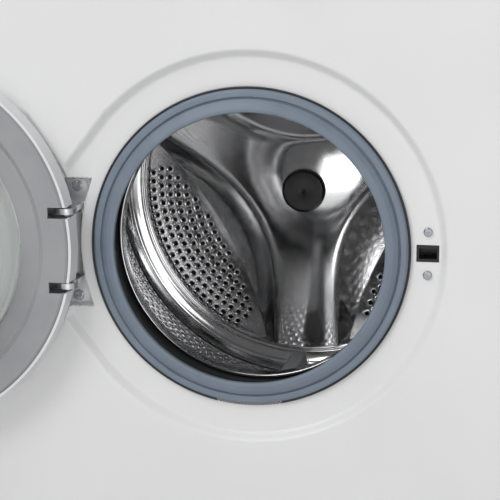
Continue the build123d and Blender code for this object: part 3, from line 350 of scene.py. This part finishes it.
def thicken(made, thickness):
    """Gives a sheet its thickness behind the drawn face, with crisp edges round its rim and holes."""
    bm = bmesh.new()
    bm.from_mesh(made.data)
    for edge in bm.edges:
        edge.smooth = edge.smooth and not edge.is_boundary
    bm.to_mesh(made.data)
    bm.free()
    sheet = made.modifiers.new("sheet thickness", "SOLIDIFY")
    sheet.thickness = thickness / 1000
    sheet.offset = -1


def outward(bm):
    """Normals of a closed body point out of it."""
    bmesh.ops.recalc_face_normals(bm, faces=bm.faces)
    return bm


def towards_front(bm):
    """Normals of an open sheet point out of the machine's front."""
    bmesh.ops.recalc_face_normals(bm, faces=bm.faces)
    if sum(face.normal.y * face.calc_area() for face in bm.faces) > 0:
        bmesh.ops.reverse_faces(bm, faces=bm.faces)
    return bm


def ease(share):
    """Smooth step from 0 to 1."""
    share = min(max(share, 0), 1)
    return share * share * (3 - 2 * share)


def greater(a, b, soft):
    """The greater of two depths, with the corner between them rounded."""
    return (a + b + sqrt((a - b) ** 2 + soft * soft)) / 2


# Front panel

# The sheet is drawn as rings of faces out to a circle, and from there out to the panel's outline
CIRCLE = 292
RAYS = 640


def panel_depth(x, z):
    """Depth of the pressed panel: the round dish, its flare towards the hinge and the hinge pocket."""
    radius = hypot(x, z)
    within = DISH_RIM - radius
    if x < -160:
        within = max(within, min(DISH_RIM + 0.788 * x - 0.616 * abs(z), x + 213))
    dish = DISH_DEPTH * ease(within / (DISH_RIM - DISH_FLOOR))
    if x > -180:
        return dish
    share = (FLARE_START - x) / FLARE_LENGTH
    floor = DISH_DEPTH - 8.8 * min(max(share, 0), 1)
    flare = floor * ease((FLARE_HALF + FLARE_GROWTH * share - abs(z)) / 12) * ease((-180 - x) / 20)
    beyond = hypot(max(abs(z) - POCKET_HALF, 0), max(POCKET_LEFT - x, 0))
    inside = min(POCKET_CORNER - beyond, radius - POCKET_INNER)
    return max(greater(dish, flare, 0.6) - 0.3, POCKET_DEPTH * ease((inside + 1) / 4), 0)


def edge_of_panel(ray, grow):
    """Where a ray from the porthole's middle meets the panel's outline, grown by some millimetres."""
    left, right, low, high = PANEL
    for x in (left, right):
        for z in (low, high):
            if ray == round(atan2(z, x) / (2 * pi) * RAYS) % RAYS:
                return x + (grow if x > 0 else -grow), z + (grow if z > 0 else -grow)
    c, s = cos(2 * pi * ray / RAYS), sin(2 * pi * ray / RAYS)
    side = (right + grow if c > 0 else left - grow) / c if abs(c) > 1e-6 else 1e6
    end = (high + grow if s > 0 else low - grow) / s if abs(s) > 1e-6 else 1e6
    return min(side, end) * c, min(side, end) * s


def near(bm, x0, x1, z0, z1):
    """Faces that reach into a rectangle, with their edges and corners."""
    geom = set()
    for face in bm.faces:
        across, up = [v.co.x for v in face.verts], [v.co.z for v in face.verts]
        if min(across) < x1 and max(across) > x0 and min(up) < z1 and max(up) > z0:
            geom |= {face} | set(face.verts) | set(face.edges)
    return list(geom)


def cut_line(bm, point, normal, box):
    """Line of new edges through the faces in a rectangle."""
    bmesh.ops.bisect_plane(bm, geom=near(bm, *box), dist=0.001, plane_co=point, plane_no=normal)


def cut_hole(bm, x0, x1, z0, z1):
    """Rectangular hole with clean edges."""
    for point, normal in (((x0, 0, 0), (1, 0, 0)), ((x1, 0, 0), (1, 0, 0)),
                          ((0, 0, z0), (0, 0, 1)), ((0, 0, z1), (0, 0, 1))):
        cut_line(bm, point, normal, (x0, x1, z0, z1))
    inside = []
    for face in bm.faces:
        middle = face.calc_center_median()
        if x0 < middle.x < x1 and z0 < middle.z < z1:
            inside.append(face)
    bmesh.ops.delete(bm, geom=inside, context="FACES")


def front_panel():
    """Pressed front sheet with its rounded outline, the porthole's collar and the two holes."""
    bm = bmesh.new()
    radii = [172 + 3 * i for i in range(6)]
    radii += [190 + 1.3 * i for i in range(33)]
    radii += [234 + 2.9 * i for i in range(21)]
    radii += [CIRCLE + 1 + i for i in range(8)]
    verts, edges = chain(bm, [(171.9, 23), (171.9, 11)] + [(r, 0) for r in radii])
    turn(bm, verts + edges, RAYS)
    # Lines along the straight edges of the hinge pocket, so that its walls stand clean
    for z in (-75, -73, -71, 71, 73, 75):
        cut_line(bm, (0, 0, z), (0, 0, 1), (-240, -182, z - 5, z + 5))
    for x in (-229, -227, -225):
        cut_line(bm, (x, 0, 0), (1, 0, 0), (x - 5, x + 5, -80, 80))
    for vert in bm.verts:
        x, z = vert.co.x, vert.co.z
        ring = round(hypot(x, z) - CIRCLE)
        if ring > 0:
            ray = round(-atan2(-z, x) / (2 * pi) * RAYS) % RAYS
            angle = radians(22.5 * min(max(ring - 3, 0), 4))
            edge_x, edge_z = edge_of_panel(ray, PANEL_ROUNDING * sin(angle))
            share = min(ring / 3, 1)
            circle = CIRCLE / hypot(x, z)
            vert.co.x = x * circle + (edge_x - x * circle) * share
            vert.co.z = z * circle + (edge_z - z * circle) * share
            vert.co.y = PANEL_ROUNDING * (1 - cos(angle)) if 3 < ring < 8 else 20 if ring == 8 else 0
        if vert.co.y == 0:
            vert.co.y = panel_depth(vert.co.x, vert.co.z)
    cut_hole(bm, *LATCH_HOLE)
    cut_hole(bm, *FLAP_HOLE)
    bmesh.ops.remove_doubles(bm, verts=bm.verts, dist=0.01)
    bmesh.ops.dissolve_degenerate(bm, edges=bm.edges, dist=0.01)
    bmesh.ops.triangulate(bm, faces=[face for face in bm.faces if len(face.verts) > 4])
    made = piece("front_sheet", towards_front(bm), "cabinet", ENAMEL, ["front_panel"])
    thicken(made, PANEL_SHEET)


front_panel()


# Gasket and its wire


def gasket():
    """Rubber ring round the porthole with its groove, and the fold of its bellows behind it."""
    face = [(177.6, 8.8), (177.6, 4.6), (175.4, 2.2), (169.2, 1.5), (168.5, 4), (167.3, 4), (166.6, 0.6),
            (161.5, -3.2), (156, -5), (153, -4.6), (152, -2.6), (152.6, 2), (154.6, 8.8)]
    ring = lathe(face, 360, 0.7)
    # Six moulded marks stand a little above the flange
    for vert in ring.verts:
        angle = degrees(atan2(vert.co.z, vert.co.x)) % 60
        if min(angle, 60 - angle) < 3.2 and 169.6 < hypot(vert.co.x, vert.co.z) < 175.6 and vert.co.y < 4:
            vert.co.y -= 0.6
    piece("gasket_ring", outward(ring), "cabinet", RUBBER, ["gasket"])
    # The fold behind is coloured near-black as painted shade
    fold = [(154.8, 4), (157.2, 26), (180, 31), (180, 43), (172.3, 49), (172.3, 74),
            (175.3, 74), (175.3, 51), (183, 45), (183, 29), (160.2, 24), (158.6, 4)]
    piece("gasket_bellows", outward(lathe(fold, 240, 0.8)), "cabinet", BELLOWS_PAINTED_SHADE)


def coil_point(share):
    """Point on the axis of the tension spring's wire, from one end to the other."""
    angle = radians(270 - SPRING_SPAN / 2 + SPRING_SPAN * share)
    turn_angle = 2 * pi * CURLS * share
    radius = SPRING_RING + CURL_RADIUS * cos(turn_angle)
    return Vector((radius * cos(angle), 6.4 + CURL_RADIUS * sin(turn_angle), radius * sin(angle)))


def gasket_wire():
    """Clamping wire in the gasket's groove, closed by a tension spring at the bottom."""
    bm = bmesh.new()
    angles = [2 * pi * i / 12 for i in range(12)]
    section = [(WIRE_RING + WIRE_RADIUS * cos(a), 5.6 + WIRE_RADIUS * sin(a)) for a in angles]
    verts, edges = chain(bm, section, True)
    to_spring = Matrix.Rotation(radians(91 - SPRING_SPAN / 2), 3, "Y")
    bmesh.ops.rotate(bm, verts=verts, cent=CENTRE, matrix=to_spring)
    turn(bm, verts + edges, 300, -radians(362 - SPRING_SPAN))
    # The spring is a grid rolled up along its curve
    grid = bmesh.new()
    bmesh.ops.create_grid(grid, x_segments=CURLS * 12, y_segments=8, size=0.5)
    for vert in grid.verts:
        share, around = vert.co.x + 0.5, 2 * pi * (vert.co.y + 0.5)
        middle = coil_point(share)
        along = (coil_point(share + 0.001) - coil_point(share - 0.001)).normalized()
        side = along.cross(Vector((middle.x, 0, middle.z))).normalized()
        vert.co = middle + CURL_WIRE * (cos(around) * side + sin(around) * along.cross(side))
    bmesh.ops.remove_doubles(grid, verts=grid.verts, dist=0.0005)
    join(bm, grid)
    # The wire's near-black finish also stands in as painted shade along the gasket's edge
    piece("clamp_wire", outward(bm), "cabinet", WIRE_AND_GAP_SHADE, ["gasket_wire"])


gasket()
gasket_wire()


# Drum


def leaf_depths(u, v):
    """How far a point lies inside the leaf's flat and inside the mouth of its pocket, in millimetres."""
    return 494.1 - hypot(u - 626.1, v), 273 - hypot(u - 335.6, v)


def along_leaf(x, z):
    """A point's place in the frame of the nearest leaf: u away from the hub, v across."""
    angle = degrees(atan2(z, x))
    axis = min(LEAF_ANGLES, key=lambda a: abs((angle - a + 180) % 360 - 180))
    c, s = cos(radians(axis)), sin(radians(axis))
    return x * c + z * s, z * c - x * s


def rim_depth(radius):
    """Depth outside the arms: a groove, a broad sloping band and the flange that curves up to the wall."""
    if radius < 227:
        return 453 + 4 * ease((radius - 222) / 4)
    if radius < 243:
        return 457 - 2 * ease((radius - 226) / 2) - 0.1 * (radius - 227) - 0.015 * (radius - 227) ** 2
    return 449.5 - 24.5 * (1 - sqrt(max(1 - ((radius - 243) / 6.6) ** 2, 0)))


def back_depth(x, z):
    """Depth of the drum's pressed back: hub and arms on a shallow cone, the rim and three sunk leaves."""
    radius = hypot(x, z)
    if radius > 224:
        return rim_depth(radius)
    cone = HUB_DEPTH - 1.4 + greater(0, (radius - HUB_RADIUS) * 36 / 172, 14)
    if radius > 221:
        cone += (rim_depth(radius) - cone) * ease((radius - 221) / 3)
    flat, mouth = leaf_depths(*along_leaf(x, z))
    share = mouth / max(mouth - flat, 1)
    curved = min(share, 1)
    pocket = 415 + 50 * curved * (1.55 - 0.55 * curved) + 60 * (share - curved)
    wall = LEAF_DEPTH - 12 * (radius - 219) / 3.5
    return greater(cone, min(pocket, wall, LEAF_DEPTH + 4), 4)


def drum_star():
    """Pressed back of the drum without the leaves: hub seat, three arms, beads and flange."""
    bm = bmesh.new()
    radii = [20 + 4 * i for i in range(8)]
    radii += [52 + 2.4 * i for i in range(67)]
    radii += [213 + 1.0 * i for i in range(34)]
    radii += [247, 248, 248.8, 249.4]
    flange = [(249.6, 425), (249.6, 422.5), (SEAM_RADIUS, 422.5)]
    verts, edges = chain(bm, [(r, 0) for r in radii] + flange)
    turn(bm, verts + edges, 420)
    for vert in bm.verts:
        if vert.co.y == 0:
            vert.co.y = back_depth(vert.co.x, vert.co.z)
    # The leaves themselves are separate, perforated sheets
    gone = [face for face in bm.faces if min(vert.co.y for vert in face.verts) > LEAF_DEPTH + 1.5]
    bmesh.ops.delete(bm, geom=gone, context="FACES")
    made = piece("drum_star", towards_front(bm), "drum", STAINLESS, ["drum_back"], 60)
    thicken(made, DRUM_SHEET)


def hole_cell(place, high, wide, rings, sides):
    """One cell of a perforated sheet: a rectangle of sheet with rings of (radius, depth) inside it.

    place(along, across, depth) gives the point in space."""
    bm = bmesh.new()
    quarter = sides // 4
    outline = []
    for side in range(4):
        for i in range(quarter):
            share = 2 * i / quarter - 1
            a, b = ((1, share), (-share, 1), (-1, -share), (share, -1))[side]
            outline.append(bm.verts.new(place(a * high / 2, b * wide / 2, 0)))
    loops = [outline]
    for radius, depth in rings:
        angles = [2 * pi * i / sides - pi / 4 for i in range(sides)]
        loops.append([bm.verts.new(place(radius * cos(a), radius * sin(a), depth)) for a in angles])
    for outer, inner in zip(loops, loops[1:]):
        for i in range(sides):
            bm.faces.new((outer[i], outer[(i + 1) % sides], inner[(i + 1) % sides], inner[i]))
    return bm


def turned_copies(bm, start, step, count):
    """Repeats everything about the porthole's axis, counter-clockwise for someone in front."""
    bmesh.ops.rotate(bm, verts=bm.verts, cent=CENTRE, matrix=Matrix.Rotation(-start, 3, "Y"))
    geom = list(bm.verts) + list(bm.edges) + list(bm.faces)
    bmesh.ops.spin(bm, geom=geom, cent=CENTRE, axis=AXIS, angle=-step * (count - 1), steps=count - 1,
                   use_duplicate=True)
    bmesh.ops.remove_doubles(bm, verts=bm.verts, dist=0.01)


def drum_leaves():
    """Three sunk leaves with rows of dimpled holes, and plain sheet towards the hub and at the ends."""
    leaf = bmesh.new()
    top = LEAF_DEPTH - 0.2
    for row, count in enumerate((1,) + HOLE_COUNTS):
        radius = FIRST_ROW + ROW_STEP * (row - 1)
        step = HOLE_PITCH / radius

        def place(along, across, depth):
            angle = across / radius
            return (radius + along) * cos(angle), top + depth, (radius + along) * sin(angle)

        if row == 0:
            dimple = ((4, 0), (0.01, 0))
        else:
            dimple = ((4.6, 0), (4, 0.1), (3, 0.7), (2.5, 1.4), (2.5, 3))
        cell = hole_cell(place, ROW_STEP, HOLE_PITCH, dimple, 16)
        turned_copies(cell, -step * (count - 1) / 2, step, count)
        # Plain sheet beyond the last hole on both sides
        for side in (-1, 1):
            for i in range(5):
                start = side * (HOLE_PITCH * count / 2 + 9 * i)
                corners = ((-1, start), (1, start), (1, start + side * 9), (-1, start + side * 9))
                cell.faces.new([cell.verts.new(place(a * ROW_STEP / 2, b, 0)) for a, b in corners])
        join(leaf, cell)
    turned_copies(leaf, radians(90), radians(120), 3)
    piece("drum_leaves", towards_front(leaf), "drum", STAINLESS, (), 50)


def drum_wall():
    """Perforated wall of the drum, from the front flange to the seam at the back."""
    bm = bmesh.new()
    step = 2 * pi / WALL_HOLES
    pitch = (WALL_BACK - WALL_FRONT) / WALL_ROWS
    for row in range(WALL_ROWS):
        middle = WALL_FRONT + pitch * (row + 0.5)

        def place(along, across, depth):
            angle = across / DRUM_RADIUS
            return (DRUM_RADIUS + depth) * cos(angle), middle + along, (DRUM_RADIUS + depth) * sin(angle)

        cell = hole_cell(place, pitch, step * DRUM_RADIUS, ((4.2, 0), (2, 1.3)), 8)
        turned_copies(cell, step * (row % 2) / 2, step, WALL_HOLES)
        join(bm, cell)
    seam, edges = chain(bm, ((DRUM_RADIUS, WALL_BACK), (SEAM_RADIUS, WALL_BACK)))
    bmesh.ops.spin(bm, geom=seam + edges, cent=CENTRE, axis=AXIS, angle=2 * pi, steps=2 * WALL_HOLES,
                   use_merge=True)
    bmesh.ops.remove_doubles(bm, verts=bm.verts, dist=0.01)
    bmesh.ops.recalc_face_normals(bm, faces=bm.faces)
    sample = max(bm.faces, key=lambda f: -abs(f.normal.y))
    if sample.normal.dot(Vector((sample.calc_center_median().x, 0, sample.calc_center_median().z))) > 0:
        bmesh.ops.reverse_faces(bm, faces=bm.faces)
    piece("drum_wall", bm, "drum", STAINLESS, ["drum_shell"], 60)


def drum_lip():
    """Front flange of the drum with its rolled lip."""
    outline = [(160.2, 68), (161, 66.5), (162.6, 66.2), (164, 67.6), (163.5, 70), (162.7, 71),
               (162.7, 88.6), (236.3, 96.2), (249.6, 105), (249.6, 114), (248.4, 114), (248.4, 105.6),
               (235.8, 97.4), (161.5, 89.8), (161.5, 71), (160.4, 69.6)]
    piece("drum_lip", outward(lathe(outline, 300, 0.4)), "drum", STAINLESS, ["drum_front"])


def hub_cap():
    """Round cap over the shaft's bolt, dished in its middle."""
    outline = [(0, 417.5), (0, 413.6), (1.6, 413.6), (2.6, 412.7), (25.5, 412.7), (28.4, 413.9),
               (29.2, 417.5)]
    cap = outward(lathe(outline, 120, 0.4, False))
    piece("hub_disc", cap, "drum", BLACK_GLOSS, ["hub_cap"])


drum_star()
drum_leaves()
drum_wall()
drum_lip()
hub_cap()


# Marks on the control panel


def thin_bar(bm, x, z, turned, length, width):
    """Flat bar on the face of the control panel, turned by an angle from upright."""
    place = Matrix.Translation((x, FASCIA_DEPTH, z)) @ Matrix.Rotation(turned, 4, "Y")
    bmesh.ops.create_cube(bm, size=1, matrix=place @ Matrix.Diagonal((width, 0.3, length, 1)))


def dial_marks():
    """Printed marks round the programme knob, longer at the quarters."""
    bm = bmesh.new()
    for i in range(24):
        angle = radians(15 * i)
        length = 5 if i % 6 == 0 else 3
        reach = 32 + length / 2
        thin_bar(bm, KNOB_X + reach * sin(angle), CONTROL_Z + reach * cos(angle), angle, length, 0.9)
    piece("dial_marks", outward(bm), "cabinet", INK)


def display_digits():
    """Remaining time in bars of seven-segment digits with a colon."""
    bm = bmesh.new()
    middle_x, middle_z = DISPLAY_MIDDLE
    across, up = 5.5, 5.5
    # Segments as (x, z, turn): top, upper right, lower right, bottom, lower left, upper left, middle
    segments = [(0, 2 * up, pi / 2), (across, up, 0), (across, -up, 0), (0, -2 * up, pi / 2),
                (-across, -up, 0), (-across, up, 0), (0, 0, pi / 2)]
    for place, lit in ((-27, (1, 2)), (3, (0, 1, 6, 2, 3)), (24, (0, 1, 2, 3, 4, 5))):
        for i in lit:
            x, z, turned = segments[i]
            thin_bar(bm, middle_x + place + x, middle_z + z, turned, 9, 1.9)
    for z in (-5, 5):
        thin_bar(bm, middle_x - 12, middle_z + z, 0, 2.2, 2.2)
    piece("display_digits", outward(bm), "cabinet", LIT_SEGMENT)


dial_marks()
display_digits()


# Finish of the pieces that are shown as they were built

OWN_FINISH = {
    "lifters": LIFTER_PLASTIC,
    # Both tub halves are dark grey, also as painted shade in the gap and behind the holes
    "tub_front": TUB_PLASTIC_AND_SHADE,
    "tub_rear": TUB_PLASTIC_AND_SHADE,
    "drum_pulley": CAST,
    "hinge_bracket": BRIGHT_ZINC,
    "front_screws": ZINC,
    "door_lock": LOCK_PLASTIC,
}
for part in frame["record"]["subparts"]:
    node = frame["nodes"][part["node"]]
    node.data.materials.clear()
    node.data.materials.append(OWN_FINISH.get(part["node"], FINISH_OF_SLOT[part["material_slot"]]))


# Camera, light and floor


def look(location, target):
    """Rotation of a camera or lamp that points from one place to another."""
    return (Vector(target) - Vector(location)).to_track_quat("-Z", "Y").to_euler()


def softbox(name, location, target, width, height, power):
    """Rectangular studio lamp, with its sides in metres and its power in watts."""
    lamp = bpy.data.lights.new(name, "AREA")
    lamp.shape = "RECTANGLE"
    lamp.size = width
    lamp.size_y = height
    lamp.energy = power
    made = bpy.data.objects.new(name, lamp)
    made.location = location
    made.rotation_euler = look(location, target)
    scene.collection.objects.link(made)


camera = bpy.data.cameras.new("camera")
camera.lens = 133.5
camera.sensor_width = 36
viewer = bpy.data.objects.new("camera", camera)
viewer.location = (0.3548, -2.2658, 0.8198)
viewer.rotation_euler = look(viewer.location, (0.0009, -0.274, 0.430))
scene.collection.objects.link(viewer)
scene.camera = viewer

PORTHOLE = (0, -0.28, 0.43)
softbox("low", (0.4, -2.5, 0.34), PORTHOLE, 0.9, 0.62, 3.6)
softbox("right", (1.15, -2.5, 0.95), PORTHOLE, 0.9, 1.3, 7)
softbox("left", (-1.25, -2.45, 2.1), PORTHOLE, 1.4, 0.8, 20)
softbox("top", (-0.9, -1.6, 2.7), PORTHOLE, 2, 1.2, 17)
softbox("rear", (1.5, 2.6, 2.2), (0, 0.3, 0.43), 1.6, 1.2, 30)

world = bpy.data.worlds.new("studio")
scene.world = world
world.use_nodes = True
# White as seen directly or through glass, dimmer as a source of light, and dim in mirror-like metal,
# which shows the softboxes against a darker room
tree = world.node_tree
seen = add(tree, "LightPath", {}).outputs
either = add(tree, "Math", {0: seen["Is Camera Ray"], 1: seen["Is Transmission Ray"]},
             operation="ADD", use_clamp=True)
room = add(tree, "MapRange", {"Value": seen["Is Glossy Ray"], "To Min": 0.42, "To Max": 0.1})
level = add(tree, "MapRange", {"Value": either.outputs[0], "To Min": room.outputs["Result"], "To Max": 1})
tree.nodes["Background"].inputs["Color"].default_value = (1, 1, 1, 1)
tree.links.new(level.outputs["Result"], tree.nodes["Background"].inputs["Strength"])

bm = bmesh.new()
bmesh.ops.create_circle(bm, cap_ends=True, segments=96, radius=6)
floor_mesh = bpy.data.meshes.new("floor")
bm.to_mesh(floor_mesh)
bm.free()
floor = bpy.data.objects.new("floor", floor_mesh)
scene.collection.objects.link(floor)
paper, tree, shader, where = surface("studio paper", Roughness=0.9)
mottle(tree, where, shader, 0.4, "#dddddd", "#e2e2e2")
floor_mesh.materials.append(paper)

scene.view_settings.view_transform = "Standard"
